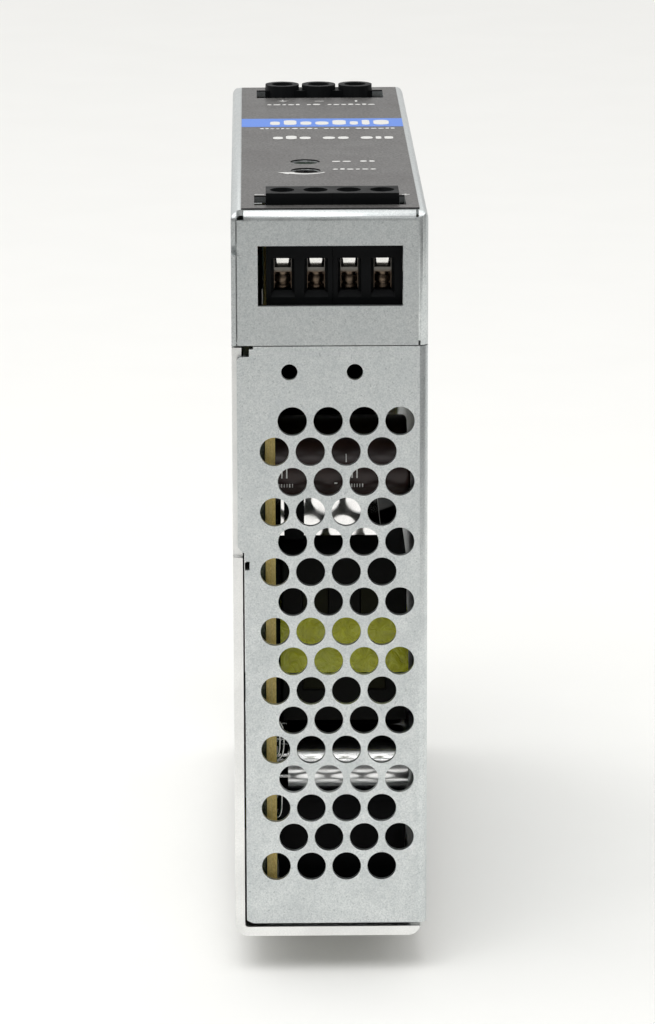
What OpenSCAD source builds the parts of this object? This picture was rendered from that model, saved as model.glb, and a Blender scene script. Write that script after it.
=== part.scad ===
// DIN rail power supply: folded metal case, screw terminals, open circuit board and rail clip.
// It lies on its rail side: X is across the case, -Y is the output end, +Z leaves the front face.
// The origin is centred on the case, at the lowest point of the rail clip.

/* [Case] */
// Width of the case, along the rail
case_w = 30; // [30:0.5:33]
// Length of the case, from the output end to the input end
case_l = 123; // [121:1:130]
// Depth of the case, from its back to its front face
case_h = 115.5; // [115:0.5:118]
// Thickness of the aluminium chassis
chassis_t = 1.5; // [1.2:0.1:1.6]
// Thickness of the steel covers
cover_t = 0.9; // [0.7:0.1:1]
// Outer bend radius of the steel covers
bend_r = 1.5; // [1.2:0.1:1.8]

/* [Vents] */
// Diameter of a vent hole
vent_d = 4.5; // [3:0.1:4.8]
// Distance between neighbouring vent holes
vent_pitch = 5.5; // [5.3:0.1:5.6]
// Number of rows of vent holes
vent_rows = 16; // [4:1:16]
// Height of the top row above the back of the case
vent_top_z = 82.9; // [80:0.1:84]

/* [Terminals] */
// Distance between output poles
out_pitch = 5.08; // [5:0.02:5.08]
// Distance between input poles
in_pitch = 6.35; // [6:0.05:6.35]
// Distance that a cage clamp opens
clamp_travel = 2.5; // [1:0.1:2.5]

/* [Front face] */
// Width of the printed label
label_w = 27.06; // [26:0.01:27.2]
// Thickness of the printed label
label_t = 0.25; // [0.1:0.05:0.4]
// Diameter of the indicator and adjuster holes
port_d = 4.7; // [4:0.1:5.5]

/* [Rail clip] */
// Width of the rail that the clip holds
rail_w = 35; // [35:1:35]
// Distance that the latch pulls out
latch_travel = 4; // [3:0.1:4]
// Depth of the clip under the back of the case
foot_h = 6; // [6:0.5:7]

/* [Hidden] */
$fn = 64;
eps = 0.01;

// Case: outer side faces, the joint between the two covers and the screw places along it
side_x = case_w / 2;
seam_z = 94.75;
tongue_y = [20, 34];
side_screw_y = (tongue_y[0] + tongue_y[1]) / 2;
tongue_screw_z = 99.5;
lip_h = 9;
lip_screw_z = 5.8;
lip_x = side_x - cover_t;
plate_left = -13.2;
plate_bottom = 2.1;

// Terminals: place of the poles and heights of a pole's pieces above the back of the case
out_x = 0.51;
out_y = 7.4;
in_x = 0;
in_y = 10.5;
pole_top = 117.5;
block_top = 114.5;
block_bottom = 96.2;
screw_seat = 114.1;
cavity_top = 113.3;
cavity_bottom = 100;
entry = [2.7, 5.15];
entry_bottom = 102.6;
lead_in = [0.45, 0.9];
jaw_top = 106;
busbar_z = 106.05;
busbar_t = 1.25;
block_y = [-4.5, 5.8];
screw_d = 2.45;
thread_d = 2.5;
head_d = 3.5;
head_hole_d = 3.75;

// Circuit board: both faces, and the places of its spacers as [along the case, height]
board_x = [-10, -8.4];
board_hole_d = 3.2;
spacers = [[38, 8], [38, 90], [113, 8], [113, 90]];

// Parts on the board: transformer core and tape, heat sink, and the adjuster's top
core_x = [-7.4, 12];
core_y = [7.6, 30];
core_z = [33, 59.4];
core_leg = 3.2;
core_slot = 4;
core_yoke = 5;
tape_z = [40.9, 49.8];
tape_t = 0.3;
sink_y = 14;
sink_z = [61.3, 77.2];
sink_t = 1.5;
pot_top = 113.6;
port_piece_d = port_d - 0.5;

// Front ports: indicator and adjuster, as [across, along the case]
led_at = [-3.2, 42.9];
pot_at = [-3.2, 34.8];

// Rail clip: the rail's lips touch the raised seat, and the hooks grip behind them
seat_z = foot_h - 3;
seat_relief = 0.25;
hook_gap = 1.25;
hook_reach = 3;
rail_edge = rail_w / 2 + 0.15;
clip_half_w = 12;
groove_y = [9, 31.4];
spring_tab_y = 22;
clip_screws = [[-8.5, 0], [8.5, 0], [-8.5, -24], [8.5, -24]];

// Moves children from case coordinates, which start at the output end's lower edge
module in_case() {
    translate([0, -case_l / 2, foot_h]) children();
}

module block(from, to) {
    translate(from) cube(to - from);
}

module along_x(from, to) {
    translate([from, 0, 0]) rotate([90, 0, 90]) linear_extrude(to - from) children();
}

module along_y(from, to) {
    translate([0, to, 0]) rotate([90, 0, 0]) linear_extrude(to - from) children();
}

module along_z(from, to) {
    translate([0, 0, from]) linear_extrude(to - from) children();
}

// Plane rectangle with its four corners rounded
module rounded(from, to, r) {
    translate(from + [r, 0]) square(to - from - [2 * r, 0]);
    translate(from + [0, r]) square(to - from - [0, 2 * r]);
    for (x = [from.x + r, to.x - r], y = [from.y + r, to.y - r])
        translate([x, y]) circle(r);
}

module both_ends() {
    children();
    translate([0, case_l, 0]) mirror([0, 1, 0]) children();
}

module at_side_screws() {
    for (y = [side_screw_y, case_l - side_screw_y])
        translate([0, y, 0]) children();
}

// Row of places along X, with its first and last place the same distance from the centre
module in_row(count, pitch) {
    for (i = [0:count - 1])
        translate([(i - (count - 1) / 2) * pitch, 0, 0]) children();
}

// Countersunk screw that lies along +X with its head's face at the origin
module side_screw(length) {
    head = [1.5, 2.6];
    rotate([0, -90, 0]) {
        difference() {
            union() {
                translate([0, 0, -cover_t]) cylinder(r1 = head[0], r2 = head[1], h = cover_t);
                translate([0, 0, -length]) cylinder(r = head[0] - 0.05, h = length - cover_t + eps);
            }
            for (a = [0, 90])
                rotate(a) block([-1.5, -0.3, -0.6], [1.5, 0.3, 1]);
        }
    }
}

module side_screw_hole() {
    rotate([0, -90, 0]) {
        translate([0, 0, -cover_t - eps]) cylinder(r1 = 1.55, r2 = 2.7, h = cover_t + 2 * eps);
        translate([0, 0, -6]) cylinder(r = 1.55, h = 6);
    }
}

// Case

module chassis_profile() {
    outer_r = 2;
    difference() {
        rounded([-side_x, 0], [lip_x, case_h], outer_r);
        rounded([-side_x + chassis_t, chassis_t], [lip_x - chassis_t, case_h], outer_r - chassis_t);
        translate([-side_x - 1, seam_z - 0.5]) square([case_w, case_h]);
        translate([0, lip_h]) square([case_w, case_h]);
    }
}

module rear_chassis() {
    tab_notch_z = 61.4;
    tongue_top = 104;
    tongue_x = -side_x + cover_t;
    spring_tab = [3, 1.2, 1.6];
    color("gainsboro") in_case() difference() {
        union() {
            // Tab pressed out of the base, which the latch's spring pushes against
            translate([-spring_tab.x / 2, case_l / 2 + spring_tab_y, -spring_tab.z])
                cube(spring_tab + [0, 0, eps]);
            along_y(0, case_l) chassis_profile();
            both_ends()
                block([tongue_x, tongue_y[0], seam_z - 4], [tongue_x + chassis_t, tongue_y[1], tongue_top]);
        }
        // Both upright walls start behind the end plates
        both_ends() {
            block([-side_x - 1, -1, tab_notch_z], [-10, cover_t + 0.1, case_h]);
            block([10, -1, chassis_t], [side_x, cover_t + 0.45, case_h]);
        }
        at_side_screws() {
            translate([-side_x - 2, 0, tongue_screw_z]) rotate([0, 90, 0]) cylinder(d = 2.9, h = 6);
            translate([lip_x - 4, 0, lip_screw_z]) rotate([0, 90, 0]) cylinder(d = 2.9, h = 6);
        }
        for (p = clip_screws)
            translate([p.x, p.y + case_l / 2, -1]) cylinder(d = 3, h = 4);
    }
}

// Plane outline of the covers: square on the left, bent corners on the right
module cover_plan(left, inset, r) {
    right = side_x - inset;
    rounded([right - 8, inset], [right, case_l - inset], r);
    translate([left, inset]) square([right - r - left, case_l - 2 * inset]);
}

module vent_holes() {
    row_h = vent_pitch * sin(60);
    for (row = [0:vent_rows - 1]) {
        first_x = row % 2 == 0 ? -5.8 : -5.8 - vent_pitch / 2;
        for (i = [0:3])
            translate([first_x + i * vent_pitch, case_l + 1, vent_top_z - row * row_h])
                rotate([90, 0, 0]) cylinder(d = vent_d, h = case_l + 2);
    }
}

module vent_plate_trim() {
    tab_z = [62.2, 93];
    tab_left = -14.23;
    flange_depth = 5;
    // Hooked tab at the left edge, with its top corner rounded and its lower corner sloped
    along_y(0, cover_t) difference() {
        union() {
            translate([tab_left, tab_z[0]]) square([1.2, tab_z[1] - tab_z[0] - 0.8]);
            translate([tab_left + 0.8, tab_z[1] - 0.8]) circle(0.8);
            translate([tab_left + 0.8, tab_z[1] - 1.6]) square([1, 1.6]);
        }
        polygon([[tab_left - 1, tab_z[0] - 1], [tab_left - 1, tab_z[0] + 1], [tab_left, tab_z[0] + 0.9],
            [plate_left + 0.2, tab_z[0] - 0.6], [plate_left, tab_z[0] - 1]]);
    }
    // Inward flanges along the lower left edge and along the bottom
    block([plate_left, 0, plate_bottom + 1.5], [plate_left + cover_t, flange_depth, 59.4]);
    block([plate_left + 1.6, 0, plate_bottom], [side_x - 2.6, flange_depth, plate_bottom + cover_t]);
}

module vent_plate_cuts() {
    end_hole_d = 2.5;
    end_hole_x = [-6.2, 3.8];
    end_hole_z = 90.6;
    for (x = end_hole_x)
        translate([x, 2, end_hole_z]) rotate([90, 0, 0]) cylinder(d = end_hole_d, h = 4);
    // Relief at the top left corner and beside the lower end of the tab
    block([plate_left - 1, -1, 93], [-12.35, cover_t + 1, case_h]);
    block([plate_left - 1, -1, 94.2], [-11.7, cover_t + 1, case_h]);
    block([plate_left - 1, -1, 59.4], [-12.45, 6, 60.8]);
    // Sloped lower left corner
    along_y(-1, 2)
        polygon([[plate_left - 1, 0], [plate_left - 1, plate_bottom + 1], [plate_left + 1.2, plate_bottom - 0.1]]);
}

module vent_cover() {
    tongue_x = side_x - 2 * cover_t;
    color("lightsteelblue") in_case() difference() {
        union() {
            along_z(plate_bottom, seam_z - 0.15) difference() {
                cover_plan(plate_left, 0, 1.3);
                cover_plan(plate_left - 1, cover_t, 0.4);
            }
            both_ends() {
                vent_plate_trim();
                block([tongue_x, tongue_y[0], seam_z - 2.5], [side_x - cover_t, tongue_y[1], 104]);
                block([tongue_x, tongue_y[0], seam_z - 2.5], [side_x - 0.2, tongue_y[1], seam_z - 0.6]);
            }
        }
        vent_holes();
        both_ends() vent_plate_cuts();
        at_side_screws() {
            translate([side_x, 0, lip_screw_z]) mirror([1, 0, 0]) side_screw_hole();
            translate([side_x - 4, 0, tongue_screw_z]) rotate([0, 90, 0]) cylinder(d = 3, h = 4);
        }
    }
}

// Space inside the front cover's outer faces, bent with radius r at every folded edge
module cover_space(inset, r, bottom) {
    half = side_x - inset;
    top = case_h - inset;
    intersection() {
        along_z(bottom, top) cover_plan(-half, inset, r);
        along_y(0, case_l) rounded([-half, bottom - 9], [half, top], r);
        along_x(-side_x, side_x) rounded([inset, bottom - 9], [case_l - inset, top], r);
    }
}

module front_cut_outs() {
    out_cut = [[-11.4, 4], [11.7, 12.2]];
    in_cut = [[-10.8, 108.1], [11.2, 116.8]];
    for (cut = [out_cut, in_cut])
        along_z(case_h - 3, case_h + 3) translate(cut[0]) square(cut[1] - cut[0]);
    for (p = [led_at, pot_at])
        translate([p.x, p.y, case_h - 3]) cylinder(d = port_d, h = 6);
}

module front_cover() {
    window = [[-10.95, 100.85], [11.15, 110.17]];
    notch_z = [108.8, 110.3];
    color("lightsteelblue") in_case() difference() {
        cover_space(0, bend_r, seam_z);
        cover_space(cover_t, bend_r - cover_t, seam_z - 5);
        both_ends() {
            along_y(-1, 2) translate(window[0]) square(window[1] - window[0]);
            // Corner reliefs, the gap beside the left flange and the notch in its edge
            block([-14.1, -1, 114.05], [-13.05, bend_r, case_h + 1]);
            block([13.1, -1, 114.4], [13.5, bend_r, case_h + 1]);
            block([-14.3, -1, seam_z - 1], [-14.1, cover_t + 0.5, 114.2]);
            block([-side_x - 1, -1, notch_z[0]], [-14.2, 2.5, notch_z[1]]);
            block([13.5, -1, seam_z - 1], [13.8, cover_t + 1, seam_z + 0.7]);
        }
        front_cut_outs();
        at_side_screws() {
            translate([-side_x, 0, tongue_screw_z]) side_screw_hole();
            translate([side_x, 0, tongue_screw_z]) mirror([1, 0, 0]) side_screw_hole();
        }
    }
}

module front_label() {
    from = [0.13 - label_w / 2, 1.5];
    to = [0.13 + label_w / 2, 120];
    color("dimgray") in_case() difference() {
        along_z(case_h, case_h + label_t) translate(from) square(to - from);
        front_cut_outs();
    }
}

module cover_screws() {
    length = 3.1;
    color("silver") in_case() at_side_screws() {
        translate([-side_x, 0, tongue_screw_z]) side_screw(length);
        translate([side_x, 0, tongue_screw_z]) mirror([1, 0, 0]) side_screw(length);
        translate([side_x, 0, lip_screw_z]) mirror([1, 0, 0]) side_screw(length);
    }
}

// Terminals. A pole's pieces are drawn around its screw, with the wire entry towards -Y

module at_output(i) {
    in_case() translate([out_x + (i - 1.5) * out_pitch, out_y, 0]) children();
}

module at_input(i) {
    in_case() translate([in_x + (i - 1) * in_pitch, case_l - in_y, 0]) rotate(180) children();
}

module pole_cuts(pitch) {
    wall = 0.45;
    half = pitch / 2 - wall;
    entry_top = entry_bottom + entry.y;
    block([-half, -3.2, cavity_bottom], [half, 3.2, cavity_top]);
    block([-entry.x / 2, -6, entry_bottom], [entry.x / 2, 0, entry_top]);
    // Sloped lead-in under the wire entry and at both of its sides
    along_x(-entry.x / 2 - lead_in.x, entry.x / 2 + lead_in.x) polygon([
        [block_y[0] - eps, entry_bottom - lead_in.y], [block_y[0] + lead_in.y, entry_bottom + eps],
        [block_y[0] - eps, entry_bottom + eps]
    ]);
    along_z(entry_bottom - eps, entry_top) polygon([
        [-entry.x / 2 - lead_in.x, block_y[0] - eps], [-entry.x / 2, block_y[0] + lead_in.y],
        [entry.x / 2, block_y[0] + lead_in.y], [entry.x / 2 + lead_in.x, block_y[0] - eps]
    ]);
    block([-1.5, 3, block_bottom - 1], [1.5, 5.15, busbar_z + busbar_t + 0.1]);
    translate([0, 0, cavity_top - 0.5]) cylinder(d = 2.8, h = 2);
    translate([0, 0, screw_seat]) cylinder(d = head_hole_d, h = 6);
}

module terminal_body(half_w) {
    block([-half_w, block_y[0], block_bottom], [half_w, block_y[1], block_top]);
    // Latching ears at both ends
    block([-half_w - 1.3, -1.8, 112], [half_w + 1.3, 2.6, block_top - 0.1]);
}

module output_terminal_block() {
    half_w = 10.15;
    end_wall = 0.5;
    color("black") in_case() translate([out_x, out_y, 0]) difference() {
        union() {
            terminal_body(half_w);
            block([half_w - 1, block_y[0], block_bottom], [half_w + end_wall, block_y[1], 111]);
            block([-half_w, -3.1, block_top - 1], [half_w, 3.1, pole_top]);
        }
        in_row(4, out_pitch) pole_cuts(out_pitch);
        // Joint between the two double poles
        block([-0.06, block_y[0] - 1, block_bottom - 1], [0.06, block_y[0] + 0.3, pole_top + 1]);
        block([-0.06, -4, block_top], [0.06, -3, pole_top + 1]);
    }
}

module input_terminal_block() {
    half_w = 9.32;
    boss_d = 5.85;
    color("black") in_case() translate([in_x, case_l - in_y, 0]) rotate(180) difference() {
        union() {
            terminal_body(half_w);
            block([-half_w, -2.2, block_top - 1], [half_w, 1.9, pole_top - 0.9]);
            in_row(3, in_pitch)
                translate([0, 0, block_top - 1]) cylinder(d = boss_d, h = pole_top - block_top + 1);
        }
        in_row(3, in_pitch) pole_cuts(in_pitch);
    }
}

// L-shaped contact bar that leaves the back of the clamp and runs down to the terminal board
module busbar() {
    half_w = 1.15;
    nose_y = -2.2;
    nose_half_w = [0.97, 0.82];
    nose_slant = 0.29;
    top = busbar_z + busbar_t;
    // Tapered bar whose end face is slanted towards the clamp's jaw
    difference() {
        along_y(nose_y, 4.3) polygon([
            [-nose_half_w[0], top], [nose_half_w[0], top],
            [nose_half_w[1], busbar_z], [-nose_half_w[1], busbar_z]
        ]);
        along_x(-2, 2)
            polygon([[nose_y - 1, top], [nose_y, top], [nose_y + nose_slant, busbar_z - eps], [nose_y - 1, busbar_z - eps]]);
    }
    block([-half_w, 4.2, block_bottom + 0.02], [half_w, 5, top]);
}

module output_busbars() {
    color("lightgray") for (i = [0:3]) at_output(i) busbar();
}

module input_busbars() {
    color("lightgray") for (i = [0:2]) at_input(i) busbar();
}

module terminal_screw() {
    head_h = 1.6;
    tip = busbar_z + busbar_t + 0.1;
    color("silver") difference() {
        union() {
            translate([0, 0, screw_seat + 0.02]) cylinder(d = head_d, h = head_h);
            translate([0, 0, tip]) cylinder(d = screw_d, h = screw_seat + 0.5 - tip);
        }
        for (a = [0, 90])
            rotate(a) block([-1.3, -0.3, screw_seat + head_h - 0.7], [1.3, 0.3, screw_seat + head_h + 1]);
        block([-3, -0.4, screw_seat + head_h - 0.6], [3, 0.4, screw_seat + head_h + 1]);
    }
}

// Closed cage: its jaw is under the contact bar, with a ribbed round front between the straps
module cage_clamp() {
    half_w = 1.65;
    half_l = 2.75;
    strap = 0.4;
    roof = [111.4, 112.9];
    jaw_bottom = 102.7;
    lip_t = 0.7;
    front_r = half_w - strap - 0.05;
    groove_z = [103.3, 104.7];
    color("goldenrod") {
        difference() {
            block([-half_w, -half_l, jaw_bottom], [half_w, half_l, roof[1]]);
            block([-half_w + strap, -4, jaw_top], [half_w - strap, 4, roof[0]]);
            block([-half_w + strap, -4, jaw_bottom - 1], [half_w - strap, -half_l + front_r, jaw_top - lip_t]);
            translate([0, 0, roof[0] - 1]) cylinder(d = thread_d, h = 4);
        }
        translate([0, -half_l + front_r, 0]) difference() {
            translate([0, 0, jaw_bottom]) cylinder(r = front_r, h = jaw_top - lip_t - jaw_bottom + eps);
            for (z = groove_z)
                translate([0, 0, z]) difference() {
                    cylinder(r = 2, h = 0.35);
                    translate([0, 0, -1]) cylinder(r = front_r - 0.25, h = 3);
                }
        }
    }
}

module terminal_board() {
    block([board_x[0], 0, block_bottom - 1.6], [13, 13, block_bottom]);
}

module output_terminal_board() {
    color("darkgreen") in_case() translate([0, 2.6, 0]) terminal_board();
}

module input_terminal_board() {
    color("darkgreen") in_case() translate([0, case_l - 18.4, 0]) terminal_board();
}

// Circuit board and its fixings

module board_outline() {
    translate([2.5, 4]) square([case_l - 5, block_bottom - 1.6 - 4]);
    translate([22, 90]) square([78, 20]);
}

module circuit_board() {
    color("darkgreen") in_case() difference() {
        along_x(board_x[0], board_x[1]) board_outline();
        at_spacers(board_x[0] - 1) cylinder(d = board_hole_d, h = 4);
    }
}

// Places children on the spacers' axes, pointing along +X from the given X
module at_spacers(x) {
    for (p = spacers)
        translate([x, p[0], p[1]]) rotate([0, 90, 0]) children();
}

// Sheet between the board and the chassis, with both ends folded towards the board
module insulating_sheet() {
    sheet_x = [-12.3, -12];
    end_y = 3.4;
    color("dimgray") in_case() difference() {
        union() {
            block([sheet_x[0], end_y, 3.5], [sheet_x[1], case_l - end_y, 90.5]);
            both_ends()
                block([sheet_x[0], end_y, 3.5], [board_x[0] - 0.1, end_y + 0.3, 90.5]);
        }
        at_spacers(sheet_x[0] - 1) cylinder(d = 7, h = 3);
    }
}

module board_spacers() {
    length = side_x - chassis_t + board_x[0];
    color("gold") in_case() at_spacers(-side_x + chassis_t) difference() {
        cylinder(d = 5.6, h = length, $fn = 6);
        translate([0, 0, -1]) cylinder(d = 2.55, h = length + 2);
    }
}

module board_screws() {
    color("silver") in_case() at_spacers(board_x[1]) difference() {
        union() {
            cylinder(d = 5.4, h = 1.8);
            translate([0, 0, -4]) cylinder(d = 2.5, h = 4 + eps);
        }
        for (a = [0, 90])
            rotate(a) block([-1.4, -0.35, 1], [1.4, 0.35, 3]);
    }
}

// Components. Each stands on the board's right face and points towards the right wall

module standing(x, y, z) {
    translate([x, y, z]) rotate([0, 90, 0]) children();
}

// Places children at the near left corner of each of the core's two winding windows
module at_core_windows() {
    for (x = [core_x[0] + core_leg, core_x[1] - core_leg - core_slot])
        translate([x, core_y[0], core_z[0] + core_yoke]) children();
}

module transformer_core() {
    window_h = core_z[1] - core_z[0] - 2 * core_yoke;
    color("#141414") in_case() difference() {
        block([core_x[0], core_y[0], core_z[0]], [core_x[1], core_y[1], core_z[1]]);
        at_core_windows() block([0, -1, 0], [core_slot, 30, window_h]);
    }
}

module transformer_winding() {
    gap = 0.1;
    inset = 0.3;
    size = [core_slot, core_y[1] - core_y[0], core_z[1] - core_z[0] - 2 * core_yoke];
    color("olive") in_case() at_core_windows()
        block([gap, inset, gap], size - [gap, inset, gap]);
}

module transformer_bobbin() {
    color("#101010") in_case() block([board_x[1], 9, 35], [core_x[0] - tape_t, 28, 58]);
}

module transformer_tape() {
    from = [core_x[0], core_y[0]];
    to = [core_x[1], core_y[1]];
    t = [tape_t, tape_t];
    color("olive") in_case() along_z(tape_z[0], tape_z[1]) difference() {
        translate(from - t) square(to - from + 2 * t);
        translate(from) square(to - from);
    }
}

// Can with a rounded shoulder, on a flat seal, lying along the given length
module capacitor(r, length) {
    shoulder = 0.8;
    rotate_extrude() {
        square([r, length - shoulder]);
        square([r - shoulder, length]);
        translate([r - shoulder, length - shoulder]) intersection() {
            circle(shoulder);
            square(shoulder);
        }
    }
}

module primary_capacitors() {
    color("#2a1a16") in_case() for (y = [6.5, 21.5])
        standing(board_x[1], y, 74.2) capacitor(4.75, 20.8);
}

module bulk_capacitors() {
    color("#1b1b1f") in_case() for (y = [46, 68])
        translate([2, y, 14]) capacitor(10, 45);
}

module polymer_capacitors() {
    lead_gap = 1.8;
    z = 25;
    color("silver") in_case() for (y = [9.6, 18.4, 27.2]) {
        standing(board_x[1] + lead_gap, y, z) capacitor(4, 19.6);
        for (dz = [-1.75, 1.75])
            standing(board_x[1], y, z + dz) cylinder(d = 0.7, h = lead_gap + 0.5);
    }
}

// Two moulded blocks, one behind the other
module output_choke() {
    size = [13.8, 16.4];
    color("#161616") in_case() for (y = [6.3, 20.7])
        along_x(board_x[1] + 0.4, 11.8) translate([y, 4.4]) rounded([0, 0], size, 1);
}

// Upright bright plate behind the first capacitor, on a foot that carries the transistors
module heat_sink() {
    plate_x = [-7.6, 5.6];
    color("silver") in_case() {
        block([plate_x[0], sink_y, sink_z[0]], [plate_x[1], sink_y + sink_t, sink_z[1]]);
        block([board_x[1], sink_y, sink_z[0]], [8.2, sink_y + 40, sink_z[0] + sink_t]);
    }
}

// Two power transistors on the foot and a rectifier at the plate's near face
module power_transistors() {
    color("#181818") in_case() {
        for (y = [29, 41])
            block([-5.5, y, sink_z[0] + sink_t], [4.5, y + 9.5, sink_z[0] + sink_t + 4.5]);
        block([-7, 11.2, sink_z[0]], [-3.9, sink_y, 69]);
    }
}

module bridge_rectifier() {
    color("#202020") in_case() block([board_x[1], 60, 70], [9.6, 64.6, 90]);
}

module input_choke_core() {
    color("#4a5a4a") in_case() standing(board_x[1] + 4, 94, 28) difference() {
        cylinder(r = 10, h = 9);
        translate([0, 0, -1]) cylinder(r = 5.6, h = 11);
    }
}

module input_choke_winding() {
    turns = 11;
    color("peru") in_case() standing(board_x[1] + 4, 94, 28) for (side = [0, 180], i = [0:turns - 1]) {
        rotate(side + 30 + i * 12) translate([7.8, 0, 0]) difference() {
            block([-3.1, -0.38, -0.9], [3.1, 0.38, 9.9]);
            block([-2.25, -1, -0.05], [2.25, 1, 9.05]);
        }
    }
}

module x_capacitor() {
    color("#c9a93a") in_case() along_y(86, 104) translate([board_x[1], 46]) rounded([0, 0], [14, 16], 1);
}

module y_capacitors() {
    color("#2f6fb0") in_case() for (z = [72, 83])
        translate([-2.6, 90, z]) rotate([90, 0, 0]) rotate_extrude() rounded_half(4.2, 3.6);
}

// Half of a disc's rounded section, from its axis outwards
module rounded_half(r, t) {
    translate([0, -t / 2]) square([r - t / 2, t]);
    translate([r - t / 2, 0]) circle(t / 2);
}

module fuse() {
    color("#d8d2c0") in_case() translate([-5.4, 110, 30]) cylinder(d = 5, h = 20);
}

module varistor() {
    color("#2f6fb0") in_case()
        translate([-2.2, 110, 18]) rotate([90, 0, 0]) rotate_extrude() rounded_half(5.8, 4.4);
}

// Adjuster and indicator under the two round ports

module adjust_pot_body() {
    color("#2b62a8") in_case() difference() {
        block([board_x[1], pot_at.y - 2.8, 102.4], [1.4, pot_at.y + 2.8, pot_top]);
        translate([pot_at.x, pot_at.y, pot_top - 2.2]) cylinder(d = 2.1, h = 4);
    }
}

module adjust_pot_rotor() {
    color("#e8e4d8") in_case() translate([pot_at.x, pot_at.y, pot_top]) difference() {
        union() {
            translate([0, 0, 0.05]) cylinder(d = port_piece_d, h = 1.75);
            translate([0, 0, -2]) cylinder(d = 2, h = 2.5);
        }
        block([-1.6, -0.3, 1.1], [1.6, 0.3, 3]);
        block([-0.3, -1.2, 1.1], [0.3, 1.2, 3]);
    }
}

// Indicator lamp with a light guide that ends inside its port
module ok_led() {
    guide_z = [113, 115.3];
    color("#3c8a4a") in_case() translate([led_at.x, led_at.y, 0]) {
        translate([0, 0, 106]) cylinder(d = 3, h = guide_z[0] - 106 + eps);
        translate([0, 0, guide_z[0]]) cylinder(d = port_piece_d, h = guide_z[1] - guide_z[0]);
        block([board_x[1] - led_at.x, -1.9, 104], [1.9, 1.9, 106 + eps]);
    }
}

// Rail clip

module clip_hook() {
    nose_z = seat_z - hook_gap;
    // Fixed hook: web beyond the rail's edge and a nose that reaches behind its lip
    block([-clip_half_w, -rail_edge - 2.6, 0], [clip_half_w, -rail_edge, seat_z + seat_relief + eps]);
    along_x(-clip_half_w, clip_half_w) polygon([
        [-rail_edge - eps, 0], [-rail_edge + hook_reach - 1, 0], [-rail_edge + hook_reach, nose_z - 0.6],
        [-rail_edge + hook_reach, nose_z], [-rail_edge - eps, nose_z]
    ]);
}

module din_clip_bracket() {
    groove_half_w = 7.1;
    mouth_half_w = 5.2;
    pad_reach = rail_edge - hook_reach - 0.1;
    color("#2a2a2a") difference() {
        union() {
            along_z(seat_z + seat_relief, foot_h) rounded([-clip_half_w, -28], [clip_half_w, 34], 2);
            block([-clip_half_w, -pad_reach, seat_z], [clip_half_w, pad_reach, foot_h - 1]);
            clip_hook();
        }
        block([-groove_half_w, groove_y[0], seat_z + 1.4], [groove_half_w, groove_y[1], foot_h + 1]);
        block([-mouth_half_w, groove_y[0], seat_z - 1], [mouth_half_w, 40, seat_z + 1.5]);
        for (p = clip_screws)
            translate([p.x, p.y, seat_z]) {
                translate([0, 0, -eps]) cylinder(d = 5.7, h = seat_relief + 2 * eps);
                translate([0, 0, seat_relief]) cylinder(d1 = 5.7, d2 = 3.1, h = 1.4);
                cylinder(d = 3.1, h = 8);
            }
    }
}

// The latch's pocket is open to the top, where the chassis's spring tab hangs into it
module din_latch() {
    flange_half_w = 6.9;
    web_half_w = 5;
    nose_z = seat_z - hook_gap;
    top = foot_h - 0.1;
    tail_end = 46;
    color("#3a3a3a") difference() {
        union() {
            block([-flange_half_w, 9.6, seat_z + 1.5], [flange_half_w, 27.2, top]);
            block([-web_half_w, 9.6, seat_z + 0.1], [web_half_w, 27.2, seat_z + 1.6]);
            block([-web_half_w, rail_edge, seat_z - 0.1], [web_half_w, tail_end, seat_z + 1.3]);
            block([-8, rail_edge, 0], [8, rail_edge + 3, seat_z - 0.1 + eps]);
            along_x(-8, 8) polygon([
                [rail_edge + eps, 0], [rail_edge - hook_reach + 1.4, 0], [rail_edge - hook_reach, nose_z - 0.6],
                [rail_edge - hook_reach, nose_z], [rail_edge + eps, nose_z]
            ]);
        }
        // Spring pocket, and the slot that a screwdriver pulls on
        block([-1.8, 12, seat_z + 0.6], [1.8, 23.5, foot_h + 1]);
        block([-2.6, 39.5, seat_z - 1], [2.6, 42, seat_z + 2]);
    }
}

// Section of a round wire coiled with the given pitch, cut square to the coil's axis
function coil_section(wire_r, coil_r, pitch) = [
    for (a = [0:45:315])
        let (radius = coil_r + wire_r * cos(a), turn = 360 * wire_r * sin(a) / pitch)
            [radius * cos(turn), radius * sin(turn)]
];

module din_latch_spring() {
    wire_r = 0.14;
    coil_r = 0.95;
    turns = 9;
    from = 12.1;
    to = spring_tab_y - 0.1;
    pitch = (to - from) / turns;
    color("silver") translate([0, from, foot_h - 1.25]) rotate([-90, 0, 0])
        linear_extrude(height = to - from, twist = -360 * turns, slices = turns * 12, $fn = 12)
            polygon(coil_section(wire_r, coil_r, pitch));
}

module din_clip_screws() {
    color("silver") for (p = clip_screws)
        translate([p.x, p.y, seat_z + seat_relief + 0.05]) difference() {
            union() {
                cylinder(d1 = 5.5, d2 = 2.9, h = 1.3);
                cylinder(d = 2.9, h = foot_h - seat_z + chassis_t + 0.6);
            }
            for (a = [0, 90])
                rotate(a) block([-1.5, -0.3, -1], [1.5, 0.3, 0.7]);
        }
}

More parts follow.
